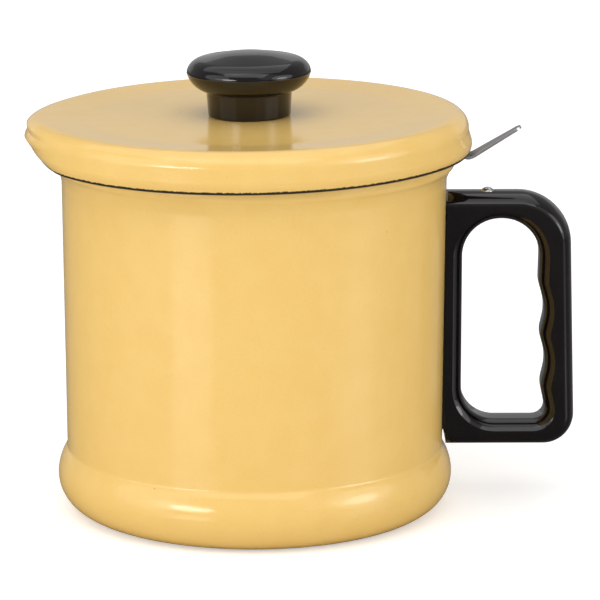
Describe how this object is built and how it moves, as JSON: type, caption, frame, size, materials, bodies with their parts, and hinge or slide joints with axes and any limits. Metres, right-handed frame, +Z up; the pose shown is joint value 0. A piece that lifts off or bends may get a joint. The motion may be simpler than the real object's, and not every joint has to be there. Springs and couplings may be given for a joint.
{
  "type": "lidded pot",
  "caption": "Enamelled grease pot with a flared foot and pouring spout, a lift-out fine-mesh strainer with a thumb tab, a lift-off knobbed lid and a moulded finger-grip handle.",
  "frame": {"origin": "on the pot's axis, in the plane it stands on", "axes": "+Z up, +X towards the handle, the pouring spout points along -X"},
  "size_m": [0.1948, 0.1544, 0.1639],
  "materials": {
    "enamel": "glossy vitreous enamel on steel",
    "phenolic": "polished moulded phenolic",
    "strap_steel": "dark enamelled strap",
    "bright_steel": "bright plated steel",
    "zinc_steel": "zinc plated steel",
    "stainless": "satin stainless steel",
    "stainless_mesh": "fine woven stainless wire",
    "brass": "turned brass",
    "fibre": "pressed fibre"
  },
  "bodies": {
    "pot": {"pot_shell": "enamel", "handle_bracket": "strap_steel", "handle": "phenolic", "handle_screw_upper": "bright_steel", "handle_screw_lower": "bright_steel", "handle_nut_upper": "zinc_steel", "handle_nut_lower": "zinc_steel"},
    "strainer": {"strainer_ring": "stainless", "strainer_mesh": "stainless_mesh", "mesh_ring": "stainless", "strainer_tab": "stainless"},
    "lid": {"lid_shell": "enamel", "knob": "phenolic", "knob_insert": "brass", "knob_screw": "bright_steel", "spring_washer": "zinc_steel", "flat_washer": "zinc_steel", "fibre_washer": "fibre"}
  },
  "joints": [
    {"name": "strainer_lift", "type": "slide", "parent": "pot", "child": "strainer", "axis": [0, 0, 1], "range_m": [0, 0.1]},
    {"name": "lid_lift", "type": "slide", "parent": "strainer", "child": "lid", "axis": [0, 0, 1], "range_m": [0, 0.1]}
  ]
}
